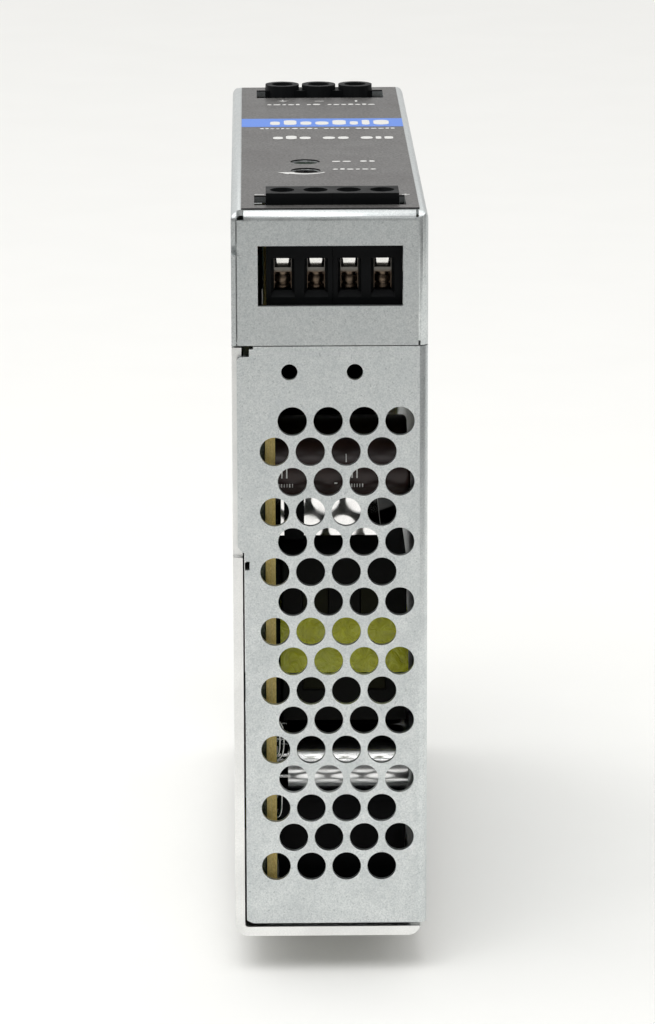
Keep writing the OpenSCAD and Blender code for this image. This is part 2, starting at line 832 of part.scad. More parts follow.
rear_chassis();
vent_cover();
front_cover();
front_label();
cover_screws();
output_terminal_block();
output_busbars();
output_terminal_board();
at_output(0) terminal_screw();  // output_screw_1
at_output(1) terminal_screw();  // output_screw_2
at_output(2) terminal_screw();  // output_screw_3
at_output(3) terminal_screw();  // output_screw_4
at_output(0) cage_clamp();  // output_clamp_1
at_output(1) cage_clamp();  // output_clamp_2
at_output(2) cage_clamp();  // output_clamp_3
at_output(3) cage_clamp();  // output_clamp_4
input_terminal_block();
input_busbars();
input_terminal_board();
at_input(0) terminal_screw();  // input_screw_1
at_input(1) terminal_screw();  // input_screw_2
at_input(2) terminal_screw();  // input_screw_3
at_input(0) cage_clamp();  // input_clamp_1
at_input(1) cage_clamp();  // input_clamp_2
at_input(2) cage_clamp();  // input_clamp_3
circuit_board();
insulating_sheet();
board_spacers();
board_screws();
transformer_core();
transformer_winding();
transformer_bobbin();
transformer_tape();
primary_capacitors();
bulk_capacitors();
polymer_capacitors();
output_choke();
heat_sink();
power_transistors();
bridge_rectifier();
input_choke_core();
input_choke_winding();
x_capacitor();
y_capacitors();
fuse();
varistor();
adjust_pot_body();
adjust_pot_rotor();
ok_led();
din_clip_bracket();
din_latch();
din_latch_spring();
din_clip_screws();
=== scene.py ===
"""Looks of the DIN rail power supply: materials, printed label, fine detail, light and camera."""

import math
import random

import bmesh
import bpy
from mathutils import Matrix, Vector


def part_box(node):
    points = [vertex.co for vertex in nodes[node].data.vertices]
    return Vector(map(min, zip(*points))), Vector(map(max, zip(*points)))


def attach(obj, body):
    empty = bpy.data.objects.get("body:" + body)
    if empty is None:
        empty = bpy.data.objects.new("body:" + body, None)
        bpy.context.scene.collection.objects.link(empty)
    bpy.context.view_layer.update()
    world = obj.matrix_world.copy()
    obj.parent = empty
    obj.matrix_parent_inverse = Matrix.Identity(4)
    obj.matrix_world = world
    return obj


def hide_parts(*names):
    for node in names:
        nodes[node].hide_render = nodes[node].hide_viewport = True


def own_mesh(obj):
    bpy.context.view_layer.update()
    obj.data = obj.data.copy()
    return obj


MM = 0.001

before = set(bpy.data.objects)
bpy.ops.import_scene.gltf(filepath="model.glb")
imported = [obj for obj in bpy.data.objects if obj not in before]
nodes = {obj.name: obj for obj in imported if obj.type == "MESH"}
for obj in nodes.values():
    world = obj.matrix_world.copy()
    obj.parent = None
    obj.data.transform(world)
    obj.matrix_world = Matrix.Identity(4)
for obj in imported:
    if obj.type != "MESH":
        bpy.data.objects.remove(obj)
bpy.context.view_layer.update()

# Case coordinates used below: X across, Y from the output end's plate, Z from the case's back.
CASE_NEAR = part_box("front_cover")[0].y
CASE_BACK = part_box("din_clip_bracket")[1].z


def at(x, y, z):
    """Row-frame point, in metres, of a place given in case coordinates in millimetres."""
    return Vector((x * MM, CASE_NEAR + y * MM, CASE_BACK + z * MM))


# ---------------------------------------------------------------- material helpers


class Shader:
    """A Principled material being made; texture places are in millimetres of the row frame."""

    def __init__(self, name, color, roughness=0.5, metallic=0.0, **inputs):
        self.material = bpy.data.materials.new(name)
        self.material.use_nodes = True
        self.tree = self.material.node_tree
        self.bsdf = self.tree.nodes["Principled BSDF"]
        self.material.diffuse_color = (*color, 1)
        self.set("Base Color", (*color, 1))
        self.set("Roughness", roughness)
        self.set("Metallic", metallic)
        for key, value in inputs.items():
            self.set(key.replace("_", " ").title().replace("Ior", "IOR"), value)
        coords = self.tree.nodes.new("ShaderNodeTexCoord")
        scale = self.tree.nodes.new("ShaderNodeVectorMath")
        scale.operation = "SCALE"
        scale.inputs["Scale"].default_value = 1 / MM
        self.link(coords.outputs["Object"], scale.inputs[0])
        self.place = scale.outputs[0]

    def set(self, socket, value):
        self.bsdf.inputs[socket].default_value = value

    def link(self, source, target):
        self.tree.links.new(source, target)

    def stretched(self, x=1.0, y=1.0, z=1.0):
        """Texture place with its axes scaled, for streaks and brushing."""
        node = self.tree.nodes.new("ShaderNodeVectorMath")
        node.operation = "MULTIPLY"
        node.inputs[1].default_value = (x, y, z)
        self.link(self.place, node.inputs[0])
        return node.outputs[0]

    def noise(self, size, detail=2.0, roughness=0.5, place=None, distortion=0.0):
        """Soft noise whose features are about size millimetres across."""
        node = self.tree.nodes.new("ShaderNodeTexNoise")
        node.inputs["Scale"].default_value = 1 / size
        node.inputs["Detail"].default_value = detail
        node.inputs["Roughness"].default_value = roughness
        node.inputs["Distortion"].default_value = distortion
        self.link(place or self.place, node.inputs["Vector"])
        return node.outputs["Fac"]

    def cells(self, size):
        """Random value for each cell of about size millimetres."""
        node = self.tree.nodes.new("ShaderNodeTexVoronoi")
        node.inputs["Scale"].default_value = 1 / size
        self.link(self.place, node.inputs["Vector"])
        split = self.tree.nodes.new("ShaderNodeSeparateColor")
        self.link(node.outputs["Color"], split.inputs[0])
        return split.outputs[0]

    def span(self, value, low, high, to_low=0.0, to_high=1.0):
        """Value remapped from low..high, clamped."""
        node = self.tree.nodes.new("ShaderNodeMapRange")
        settings = {"From Min": low, "From Max": high, "To Min": to_low, "To Max": to_high}
        for socket, number in settings.items():
            node.inputs[socket].default_value = number
        self.link(value, node.inputs["Value"])
        return node.outputs["Result"]

    def math(self, operation, a, b):
        node = self.tree.nodes.new("ShaderNodeMath")
        node.operation = operation
        for socket, value in zip(node.inputs, (a, b)):
            if isinstance(value, (int, float)):
                socket.default_value = value
            else:
                self.link(value, socket)
        return node.outputs[0]

    def mix(self, factor, a, b):
        """Colour between a and b; each is a colour or a socket."""
        node = self.tree.nodes.new("ShaderNodeMix")
        node.data_type = "RGBA"
        for socket, value in (("Factor", factor), ("A", a), ("B", b)):
            if isinstance(value, tuple):
                node.inputs[socket].default_value = (*value, 1)
            else:
                self.link(value, node.inputs[socket])
        return node.outputs["Result"]

    def color(self, value):
        self.link(value, self.bsdf.inputs["Base Color"])

    def rough(self, value, low, high):
        """Roughness from low to high as a noise value goes over its usual range."""
        self.link(self.span(value, 0.3, 0.7, low, high), self.bsdf.inputs["Roughness"])

    def bump(self, height, depth):
        """Bump of depth millimetres."""
        node = self.tree.nodes.new("ShaderNodeBump")
        node.inputs["Distance"].default_value = depth * MM
        self.link(height, node.inputs["Height"])
        self.link(node.outputs["Normal"], self.bsdf.inputs["Normal"])

    def facing(self, axis):
        """How squarely the surface faces along the given row axis, 0 to 1."""
        coords = self.tree.nodes.new("ShaderNodeTexCoord")
        split = self.tree.nodes.new("ShaderNodeSeparateXYZ")
        self.link(coords.outputs["Normal"], split.inputs[0])
        return self.math("ABSOLUTE", split.outputs[axis], 0.0)

    def along(self, axis):
        """Place along the given row axis, in millimetres."""
        split = self.tree.nodes.new("ShaderNodeSeparateXYZ")
        self.link(self.place, split.inputs[0])
        return split.outputs[axis]


# ---------------------------------------------------------------- materials


def galvanised_steel(name, shade):
    """Zinc-coated sheet: fine speckle, soft clouds, small spangles and a few dark flecks."""
    s = Shader(name, (0.65 * shade, 0.67 * shade, 0.67 * shade), roughness=0.42, metallic=1.0)
    speckle = s.noise(0.22, detail=3.0, roughness=0.7)
    cloud = s.noise(3.5, detail=4.0, roughness=0.6)
    spangle = s.cells(0.8)

    def tint(r, g, b):
        return (r * shade, g * shade, b * shade)

    tone = s.mix(s.span(speckle, 0.35, 0.65), tint(0.55, 0.585, 0.59), tint(0.80, 0.825, 0.82))
    tone = s.mix(s.span(cloud, 0.35, 0.7, 0.0, 0.35), tone, tint(0.56, 0.60, 0.61))
    tone = s.mix(s.span(spangle, 0.0, 1.0, 0.0, 0.12), tone, tint(0.86, 0.88, 0.88))
    drops = s.noise(0.35, detail=1.0, roughness=0.4, place=s.stretched(1, 1.3, 0.8))
    fleck = s.math("MULTIPLY", s.span(drops, 0.70, 0.76), 0.5)
    s.color(s.mix(fleck, tone, tint(0.36, 0.39, 0.40)))
    s.rough(cloud, 0.36, 0.50)
    s.bump(speckle, 0.012)
    return s.material


def chassis_aluminium():
    """Bare aluminium sheet with rolling lines along its length and duller clouds."""
    s = Shader("chassis_aluminium", (0.90, 0.90, 0.88), roughness=0.34, metallic=1.0)
    rolled = s.noise(0.16, detail=3.0, place=s.stretched(1, 0.03, 1))
    cloud = s.noise(6.0, detail=3.0)
    tone = s.mix(s.span(rolled, 0.3, 0.7), (0.84, 0.845, 0.83), (0.94, 0.94, 0.925))
    s.color(s.mix(s.span(cloud, 0.4, 0.7, 0.0, 0.3), tone, (0.80, 0.805, 0.80)))
    s.rough(cloud, 0.28, 0.42)
    s.bump(rolled, 0.004)
    return s.material


def label_film():
    """Grey film with a fine grain on its face; its cut edge is almost black."""
    s = Shader("label_film", (0.06, 0.057, 0.055), roughness=0.42)
    grain = s.noise(0.42, detail=2.0, roughness=0.8)
    cloud = s.noise(9.0, detail=2.0)
    tone = s.mix(s.span(grain, 0.36, 0.64), (0.022, 0.021, 0.020), (0.125, 0.12, 0.116))
    tone = s.mix(s.span(cloud, 0.4, 0.65, 0.0, 0.15), tone, (0.11, 0.10, 0.10))
    edge = s.span(s.facing(2), 0.4, 0.6)
    s.color(s.mix(edge, (0.012, 0.012, 0.013), tone))
    s.rough(cloud, 0.36, 0.46)
    s.bump(grain, 0.008)
    return s.material


def ink(name, color):
    s = Shader(name, color, roughness=0.4)
    grain = s.noise(0.2, detail=2.0)
    darker = tuple(0.90 * c for c in color)
    s.color(s.mix(s.span(grain, 0.3, 0.7), darker, color))
    s.bump(grain, 0.004)
    return s.material


def moulded(name, color, roughness=0.42, grain_size=0.12, depth=0.006, shine=0.5):
    """Moulded plastic: eroded grain, slightly lighter flow marks and duller patches."""
    s = Shader(name, color, roughness=roughness, specular_ior_level=shine)
    grain = s.noise(grain_size, detail=2.0, roughness=0.6)
    flow = s.noise(4.0, detail=3.0, distortion=0.6)
    lighter = tuple(min(1.0, 1.36 * c) for c in color)
    s.color(s.mix(s.span(flow, 0.35, 0.75, 0.0, 0.8), color, lighter))
    s.rough(flow, roughness - 0.06, roughness + 0.10)
    s.bump(grain, depth)
    return s.material


def plated(name, color, roughness=0.25, streak=(1.0, 1.0, 1.0), depth=0.003):
    """Plated or drawn metal with fine streaks and patchy brightness."""
    s = Shader(name, color, roughness=roughness, metallic=1.0)
    fine = s.noise(0.15, detail=3.0, place=s.stretched(*streak))
    cloud = s.noise(2.0, detail=3.0)
    streaks = tuple(0.82 * c for c in color)
    patches = tuple(0.7 * c for c in color)
    tone = s.mix(s.span(fine, 0.3, 0.7), streaks, color)
    s.color(s.mix(s.span(cloud, 0.45, 0.75, 0.0, 0.4), tone, patches))
    s.rough(cloud, max(0.03, roughness - 0.05), roughness + 0.07)
    s.bump(fine, depth)
    return s.material


def clamp_metal():
    """Tarnished copper alloy with fine streaks; grey along the jaw's upper edge as a painted
    reflection of its lip.
    """
    # Heights between which the painted reflection along the jaw's upper edge begins, in millimetres
    # of the row frame
    jaw_reflection_band = (111.2, 111.7)
    s = Shader("clamp_metal", (0.16, 0.11, 0.075), roughness=0.3, metallic=1.0)
    tarnish = s.noise(0.8, detail=4.0, roughness=0.7)
    fine = s.noise(0.12, detail=2.0, place=s.stretched(0.3, 1, 1))
    tone = s.mix(s.span(tarnish, 0.35, 0.65), (0.09, 0.058, 0.036), (0.22, 0.165, 0.12))
    tone = s.mix(s.span(fine, 0.4, 0.7, 0.0, 0.3), tone, (0.26, 0.22, 0.18))
    # Grey above these heights: painted reflection on the jaw's upper lip.
    s.color(s.mix(s.span(s.along(2), *jaw_reflection_band), tone, (0.22, 0.21, 0.19)))
    s.rough(tarnish, 0.26, 0.42)
    s.bump(fine, 0.006)
    return s.material


def board_laminate():
    """Green resist with tracks on the faces; bare glass-fibre weave on the cut edges."""
    s = Shader("board_laminate", (0.04, 0.17, 0.10), roughness=0.5, specular_ior_level=0.3)
    tracks = s.tree.nodes.new("ShaderNodeTexBrick")
    tracks.inputs["Scale"].default_value = 0.14
    tracks.inputs["Mortar Size"].default_value = 0.03
    tracks.offset = 0.37
    tracks.squash = 1.6
    turned = s.tree.nodes.new("ShaderNodeVectorRotate")
    turned.rotation_type = "Y_AXIS"
    turned.inputs["Angle"].default_value = math.pi / 2
    s.link(s.place, turned.inputs["Vector"])
    s.link(turned.outputs[0], tracks.inputs["Vector"])
    grain = s.noise(0.6, detail=3.0)
    resist = s.mix(s.span(grain, 0.3, 0.7), (0.012, 0.075, 0.048), (0.022, 0.11, 0.068))
    resist = s.mix(tracks.outputs["Fac"], resist, (0.035, 0.17, 0.095))
    weave = s.noise(0.14, detail=3.0, roughness=0.8, place=s.stretched(1, 1, 0.4))
    layers = s.noise(0.18, detail=1.0, place=s.stretched(1, 0.02, 0.02))
    edge = s.mix(s.span(weave, 0.3, 0.7), (0.46, 0.33, 0.08), (0.86, 0.68, 0.24))
    edge = s.mix(s.span(layers, 0.45, 0.6, 0.0, 0.5), edge, (0.62, 0.52, 0.22))
    s.color(s.mix(s.span(s.facing(0), 0.4, 0.6), edge, resist))
    s.bump(weave, 0.01)
    return s.material


def sleeve(name, color, lighter):
    """Shrink sleeve with lighter ripples and a slightly uneven gloss."""
    coat = {"coat_weight": 0.05, "coat_roughness": 0.2}
    s = Shader(name, color, roughness=0.36, specular_ior_level=0.3, **coat)
    ripple = s.noise(1.6, detail=3.0, place=s.stretched(0.5, 1, 1))
    fine = s.noise(0.2, detail=2.0)
    s.color(s.mix(s.span(ripple, 0.35, 0.75), color, lighter))
    s.rough(ripple, 0.30, 0.44)
    s.bump(fine, 0.004)
    return s.material


def yellow_tape():
    """Glossy polyester tape, wrinkled, with paler bands where its layers overlap."""
    coat = {"coat_weight": 0.1, "coat_roughness": 0.15}
    s = Shader("yellow_tape", (0.36, 0.36, 0.01), roughness=0.3, **coat)
    wrinkle = s.noise(2.2, detail=3.0, roughness=0.55, distortion=1.6)
    layer = s.noise(4.0, detail=2.0, place=s.stretched(1, 1, 0.25))
    tone = s.mix(s.span(wrinkle, 0.3, 0.7), (0.36, 0.36, 0.006), (0.60, 0.62, 0.03))
    s.color(s.mix(s.span(layer, 0.45, 0.65, 0.0, 0.5), tone, (0.50, 0.54, 0.08)))
    s.rough(wrinkle, 0.16, 0.32)
    s.bump(wrinkle, 0.45)
    return s.material


def ferrite():
    s = Shader("ferrite", (0.006, 0.006, 0.006), roughness=0.55, specular_ior_level=0.08)
    grit = s.noise(0.1, detail=3.0, roughness=0.8)
    s.color(s.mix(s.span(grit, 0.35, 0.7), (0.004, 0.004, 0.004), (0.010, 0.010, 0.009)))
    s.bump(grit, 0.012)
    return s.material


def enamelled_wire():
    s = Shader("enamelled_wire", (0.50, 0.19, 0.06), roughness=0.22, metallic=0.7, coat_weight=0.6)
    tone = s.noise(1.2, detail=2.0)
    s.color(s.mix(s.span(tone, 0.3, 0.7), (0.40, 0.13, 0.04), (0.62, 0.27, 0.10)))
    s.bump(s.noise(0.3), 0.02)
    return s.material


def insulating_film():
    """Grey-green sheet with soft waves."""
    s = Shader("insulating_film", (0.08, 0.10, 0.065), roughness=0.45)
    grain = s.noise(0.5, detail=3.0)
    s.color(s.mix(s.span(grain, 0.35, 0.7), (0.10, 0.13, 0.085), (0.26, 0.30, 0.19)))
    s.bump(s.noise(14.0, detail=1.0), 0.2)
    return s.material


def tinted_lens():
    s = Shader("tinted_lens", (0.004, 0.012, 0.006), roughness=0.4, specular_ior_level=0.03)
    haze = s.noise(0.6, detail=2.0)
    s.color(s.mix(s.span(haze, 0.3, 0.7), (0.003, 0.010, 0.004), (0.005, 0.018, 0.007)))
    s.bump(s.noise(0.9), 0.01)
    return s.material


def studio_floor():
    """White sweep that ends in a dark room well in front of the object."""
    # Where the sweep goes from dark to white, in millimetres along Y
    dark_until, white_from = -640.0, -500.0
    s = Shader("studio_floor", (0.86, 0.86, 0.845), roughness=0.8, specular_ior_level=0.2)
    paper = s.noise(30.0, detail=2.0)
    white = s.mix(s.span(paper, 0.3, 0.7), (0.845, 0.844, 0.826), (0.855, 0.854, 0.836))
    lit = s.span(s.along(1), dark_until, white_from)
    s.color(s.mix(lit, (0.10, 0.10, 0.10), white))
    s.bump(s.noise(0.8), 0.02)
    return s.material


STEEL = galvanised_steel("galvanised_steel", 1.0)
# Darker copy of the same steel for the front cover: painted shade for the dimmer light that its
# terminal plate and top bend catch.
SHADED_COVER_STEEL = galvanised_steel("galvanised_cover_painted_shade", 0.90)
ALUMINIUM = chassis_aluminium()
LABEL = label_film()
BLACK = moulded("terminal_plastic", (0.005, 0.0055, 0.006), roughness=0.45, shine=0.08)
CLIP = moulded("clip_plastic", (0.018, 0.018, 0.019), roughness=0.5, grain_size=0.2, depth=0.015)
TIN = plated("tinned_contact", (0.86, 0.85, 0.82), roughness=0.16)
ZINC = plated("zinc_screw", (0.72, 0.73, 0.72), roughness=0.24)
BRASS = plated("spacer_brass", (0.72, 0.54, 0.24), roughness=0.26)
CLAMP = clamp_metal()
BOARD = board_laminate()
FERRITE = ferrite()
RESIN = moulded(
    "component_resin", (0.004, 0.004, 0.0045), roughness=0.5, grain_size=0.2, shine=0.08
)
# Near-black olive for the winding seen behind the core: painted shade for a winding that sits in
# shadow inside the case.
SHADED_WINDING = moulded(
    "winding_painted_shade", (0.010, 0.010, 0.004), roughness=0.45, grain_size=0.6, depth=0.03, shine=0.08
)
TAPE = yellow_tape()
BROWN = sleeve("brown_sleeve", (0.018, 0.008, 0.007), (0.028, 0.013, 0.011))
BLACK_SLEEVE = sleeve("black_sleeve", (0.014, 0.014, 0.017), (0.030, 0.030, 0.036))
CAN = plated("bare_can", (0.92, 0.92, 0.92), roughness=0.2, streak=(0.2, 1, 1), depth=0.001)
MIRROR = plated("bright_aluminium", (0.95, 0.94, 0.93), roughness=0.035, depth=0.0002)
BLUE_RESIN = moulded("blue_resin", (0.02, 0.10, 0.30), roughness=0.22)
FILM_CAP = moulded("film_capacitor", (0.42, 0.31, 0.06), roughness=0.4)
CERAMIC = moulded("fuse_ceramic", (0.66, 0.62, 0.52), roughness=0.3)
ADJUSTER = moulded("adjuster_plastic", (0.008, 0.014, 0.030), roughness=0.5, shine=0.1)
ROTOR = moulded("rotor_plastic", (0.006, 0.006, 0.006), roughness=0.6, shine=0.02)
CHOKE_CORE = moulded("choke_core", (0.05, 0.10, 0.06), roughness=0.5)
LENS = tinted_lens()
FILM = insulating_film()
WIRE = enamelled_wire()
SPRING = plated("spring_steel", (0.62, 0.62, 0.62), roughness=0.2)
WHITE_INK = ink("white_ink", (0.70, 0.70, 0.68))
BLUE_INK = ink("blue_ink", (0.06, 0.20, 0.70))

# Material of each CAD node, found by the first key that is part of the node's name
FINISHES = {
    "rear_chassis": ALUMINIUM,
    "vent_cover": STEEL,
    "front_cover": SHADED_COVER_STEEL,
    "front_label": LABEL,
    "terminal_block": BLACK,
    "busbars": TIN,
    "terminal_board": BOARD,
    "circuit_board": BOARD,
    "clamp_": CLAMP,
    "screw": ZINC,
    "insulating_sheet": FILM,
    "board_spacers": BRASS,
    "transformer_core": FERRITE,
    "transformer_winding": SHADED_WINDING,
    "transformer_tape": TAPE,
    "transformer_bobbin": RESIN,
    "primary_capacitors": BROWN,
    "bulk_capacitors": BLACK_SLEEVE,
    "polymer_capacitors": CAN,
    "output_choke": RESIN,
    "heat_sink": MIRROR,
    "power_transistors": RESIN,
    "bridge_rectifier": RESIN,
    "choke_core": CHOKE_CORE,
    "choke_winding": WIRE,
    "x_capacitor": FILM_CAP,
    "y_capacitors": BLUE_RESIN,
    "varistor": BLUE_RESIN,
    "fuse": CERAMIC,
    "adjust_pot_body": ADJUSTER,
    "adjust_pot_rotor": ROTOR,
    "ok_led": LENS,
    "din_clip_bracket": CLIP,
    "din_latch_spring": SPRING,
    "din_latch": CLIP,
}


def finish_of(name):
    for key, material in FINISHES.items():
        if key in name:
            return material
    raise KeyError(name)


# Edge radius, in millimetres, that softens each sheet-metal or moulded CAD node
EDGE_RADIUS = {
    "vent_cover": 0.10,
    "front_cover": 0.10,
    "rear_chassis": 0.12,
    "front_label": 0.03,
    "terminal_block": 0.12,
    "clamp_": 0.08,
    "heat_sink": 0.12,
    "transformer_core": 0.25,
    "circuit_board": 0.04,
    "din_clip_bracket": 0.2,
    "din_latch": 0.2,
    "x_capacitor": 0.3,
    "power_transistors": 0.2,
    "bridge_rectifier": 0.3,
    "adjust_pot_body": 0.2,
}


def soften(piece, radius):
    """Rounds a CAD node's hard edges with modifiers; its mesh stays as it is."""
    weld = piece.modifiers.new("weld", "WELD")
    weld.merge_threshold = 0.001 * MM
    bevel = piece.modifiers.new("bevel", "BEVEL")
    bevel.width = radius * MM
    bevel.segments = 2
    bevel.limit_method = "ANGLE"
    bevel.angle_limit = math.radians(40)
    bevel.harden_normals = True


for name, piece in nodes.items():
    piece.data.materials.clear()
    piece.data.materials.append(finish_of(name))
    for key, radius in EDGE_RADIUS.items():
        if key in name and name != "din_latch_spring":
            soften(piece, radius)
            break


# ---------------------------------------------------------------- mesh helpers


def add_piece(name, mesh, material):
    """Adds a piece that stays with the case."""
    piece = bpy.data.objects.new(name, mesh)
    bpy.context.scene.collection.objects.link(piece)
    mesh.materials.append(material)
    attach(piece, "case")
    return piece


def closed_mesh(name, work):
    """Mesh of the finished bmesh, with every face turned outwards."""
    mesh = bpy.data.meshes.new(name)
    bmesh.ops.recalc_face_normals(work, faces=work.faces)
    work.to_mesh(mesh)
    work.free()
    return mesh


def slabs(name, outlines, bottom, thickness, material):
    """One piece made of flat closed slabs, one for each outline of case (x, y) points."""
    work = bmesh.new()
    for outline in outlines:
        low = [work.verts.new((x * MM, CASE_NEAR + y * MM, bottom)) for x, y in outline]
        face = work.faces.new(low)
        if face.calc_area() > 0 and face.normal.z > 0:
            face.normal_flip()
        grown = bmesh.ops.extrude_face_region(work, geom=[face])
        tops = [v for v in grown["geom"] if isinstance(v, bmesh.types.BMVert)]
        bmesh.ops.translate(work, verts=tops, vec=(0, 0, thickness))
    add_piece(name, closed_mesh(name, work), material)


def bar(x, y, width, height):
    """Rectangle centred on a point."""
    w, h = width / 2, height / 2
    return [(x - w, y - h), (x + w, y - h), (x + w, y + h), (x - w, y + h)]


def pill(x, y, width, height, steps=4):
    """Bar with its four corners rounded almost as far as its shorter side allows."""
    r = 0.45 * min(width, height)
    outline = []
    for quarter, (sx, sy) in enumerate(((1, 1), (-1, 1), (-1, -1), (1, -1))):
        corner_x = x + sx * (width / 2 - r)
        corner_y = y + sy * (height / 2 - r)
        for step in range(steps + 1):
            a = math.radians(90 * (quarter + step / steps))
            outline.append((corner_x + r * math.cos(a), corner_y + r * math.sin(a)))
    return outline


def word_marks(x_from, x_to, y, height, words, seed):
    """Row of abstract word shapes: each word is a run of short strokes of uneven width."""
    rng = random.Random(seed)
    strokes = []
    for count in words:
        strokes += [rng.uniform(0.55, 1.25) for _ in range(count)] + [None]
    strokes.pop()
    gap = 0.3
    space = gap * 3
    total = sum(space if w is None else w + gap for w in strokes)
    unit = (x_to - x_from) / total
    outlines = []
    x = x_from
    for width in strokes:
        if width is None:
            x += space * unit
            continue
        tall = height * rng.choice((0.72, 0.72, 1.0))
        outlines.append(pill(x + width * unit / 2, y - (height - tall) / 2, width * unit, tall))
        x += (width + gap) * unit
    return outlines


# ---------------------------------------------------------------- printed label


# Thickness of a layer of ink
PRINT = 0.02 * MM

# Rows of abstract word shapes: left end, right end, Y, height, strokes in each word, seed.
# They stand in for every printed word.
WORD_ROWS = [
    (-8.6, 12.0, 81.4, 4.8, [8], 3),
    (-10.3, 12.4, 75.2, 1.0, [10, 5, 6], 4),
    (-8.2, 12.1, 66.2, 3.4, [3, 2, 3], 5),
    (1.1, 8.3, 42.9, 1.2, [2, 2], 6),
    (1.1, 8.3, 35.6, 1.2, [6], 7),
    (-9.0, 9.8, 100.6, 1.3, [5, 2, 7], 8),
]


def turning_arrow(center, radius, start, end, tail, head, tip, steps=28):
    """Arc that widens from tail to head, angles in degrees, and an arrowhead that ends at tip."""
    angles = [math.radians(start + (end - start) * i / steps) for i in range(steps + 1)]
    widths = [tail + (head - tail) * i / steps for i in range(steps + 1)]

    def place(r, a):
        return (center[0] + r * math.cos(a), center[1] + r * math.sin(a))

    outer = [place(radius + w / 2, a) for a, w in zip(angles, widths)]
    inner = [place(radius - w / 2, a) for a, w in zip(angles, widths)]
    barbs = [place(radius + head, angles[-1]), tip, place(radius - head, angles[-1])]
    return outer + barbs + inner[::-1]


def earth_symbol(x, y):
    """Three bars that shorten downwards, under a stem."""
    strokes = [(0.0, 1.9), (0.45, 1.2), (0.9, 0.55)]
    bars = [bar(x, y - drop, width, 0.2) for drop, width in strokes]
    return bars + [bar(x, y + 0.55, 0.22, 1.1)]


def print_label():
    """Blue band across the label, and over it every white mark."""
    low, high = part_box("front_label")
    left, right = low.x / MM, high.x / MM
    band = [bar((left + right) / 2, 81.4, right - left - 0.02, 8.4)]
    slabs("label_band", band, high.z, PRINT, BLUE_INK)

    marks = []
    for row in WORD_ROWS:
        marks += word_marks(*row)
    # Signs beside the input poles
    marks += earth_symbol(-6.3, 104.6)
    marks += [pill(0, 104.2, 1.6, 0.4), bar(6.35, 104.2, 0.4, 1.6)]
    # Polarity signs beside the output poles
    marks += [bar(-10.6, 12.9, 1.5, 0.35), bar(11.9, 12.4, 1.2, 0.3), bar(11.9, 12.4, 0.3, 1.2)]
    # Turning arrow around the trimmer's port
    marks.append(turning_arrow((-3.2, 34.8), 3.6, -35, -128, 0.35, 1.05, (-7.7, 32.8)))
    slabs("label_marks", marks, high.z + PRINT, PRINT, WHITE_INK)


print_label()


# ---------------------------------------------------------------- components seen through the vents


def wrapped_marks():
    """Generic print on the sleeve of the first capacitor: small patches bent around its side."""
    sleeve_low, sleeve_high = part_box("primary_capacitors")
    radius = (sleeve_high.z - sleeve_low.z) / 2
    axis_y = sleeve_low.y + radius
    axis_z = sleeve_low.z + radius
    sunk, proud = 0.01 * MM, 0.015 * MM
    work = bmesh.new()

    def patch(x, width, low, high, steps=4):
        """Patch centred on x, between two angles above the line that faces the output end."""
        angles = [math.radians(low + (high - low) * i / steps) for i in range(steps + 1)]
        rings = []
        for r in (radius - sunk, radius + proud):
            profile = [(axis_y - r * math.cos(a), axis_z + r * math.sin(a)) for a in angles]
            for side in (-width / 2, width / 2):
                ring = [work.verts.new(((x + side) * MM, y, z)) for y, z in profile]
                rings.append(ring)
        for a, b in ((0, 1), (1, 3), (3, 2), (2, 0)):
            for i in range(steps):
                work.faces.new([rings[a][i], rings[a][i + 1], rings[b][i + 1], rings[b][i]])
        for i in (0, steps):
            work.faces.new([rings[0][i], rings[1][i], rings[3][i], rings[2][i]])

    rng = random.Random(11)
    for x in (-7.4, 3.4):
        # Two tall strokes with a short foot each, over a row of seven small strokes
        for column in range(2):
            patch(x + column * 0.75, 0.2, -8, 14)
            patch(x + column * 0.75 + 0.2, 0.35, 11, 14)
        for column in range(7):
            patch(x - 0.9 + column * 0.42, 0.2 * rng.choice((0.6, 1.0)), -28, -20)
    # A dash and a tall stroke on their own
    patch(0.9, 0.45, -20, -17)
    patch(2.5, 0.14, 22, 38)
    add_piece("sleeve_marks", closed_mesh("sleeve_marks", work), WHITE_INK)


def tube(work, points, radius, sides=8):
    """Closed round wire through the points."""
    rings = []
    for i, point in enumerate(points):
        before = points[max(i - 1, 0)]
        after = points[min(i + 1, len(points) - 1)]
        turn = Vector((0, 0, 1)).rotation_difference((after - before).normalized()).to_matrix()
        ring = []
        for k in range(sides):
            a = math.tau * k / sides
            spoke = Vector((radius * math.cos(a), radius * math.sin(a), 0))
            ring.append(work.verts.new(point + turn @ spoke))
        rings.append(ring)
    for low, high in zip(rings, rings[1:]):
        for i in range(sides):
            j = (i + 1) % sides
            work.faces.new([low[i], low[j], high[j], high[i]])
    work.faces.new(rings[0][::-1])
    work.faces.new(rings[-1])


def wire_leads():
    """Bent leads that stand on the board's component side beside the lower vents."""
    board_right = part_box("circuit_board")[1].x / MM
    wire_radius = 0.16 * MM
    sunk = 0.2
    steps = 12
    # Each loop's Y, lower end, upper end and reach from the board
    loops = [
        (4.3, 18.2, 24.0, 1.0),
        (4.6, 28.3, 33.0, 0.7),
        (5.0, 27.6, 33.6, 1.35),
        (4.2, 23.6, 27.6, 0.5),
    ]
    work = bmesh.new()
    for y, low, high, reach in loops:
        middle, half = (low + high) / 2, (high - low) / 2
        points = []
        for i in range(steps + 1):
            a = math.pi * i / steps
            x = board_right - sunk + reach * math.sin(a) ** 0.5
            points.append(at(x, y, middle - half * math.cos(a)))
        tube(work, points, wire_radius)
    for face in work.faces:
        face.smooth = len(face.verts) == 4
    add_piece("wire_leads", closed_mesh("wire_leads", work), TIN)


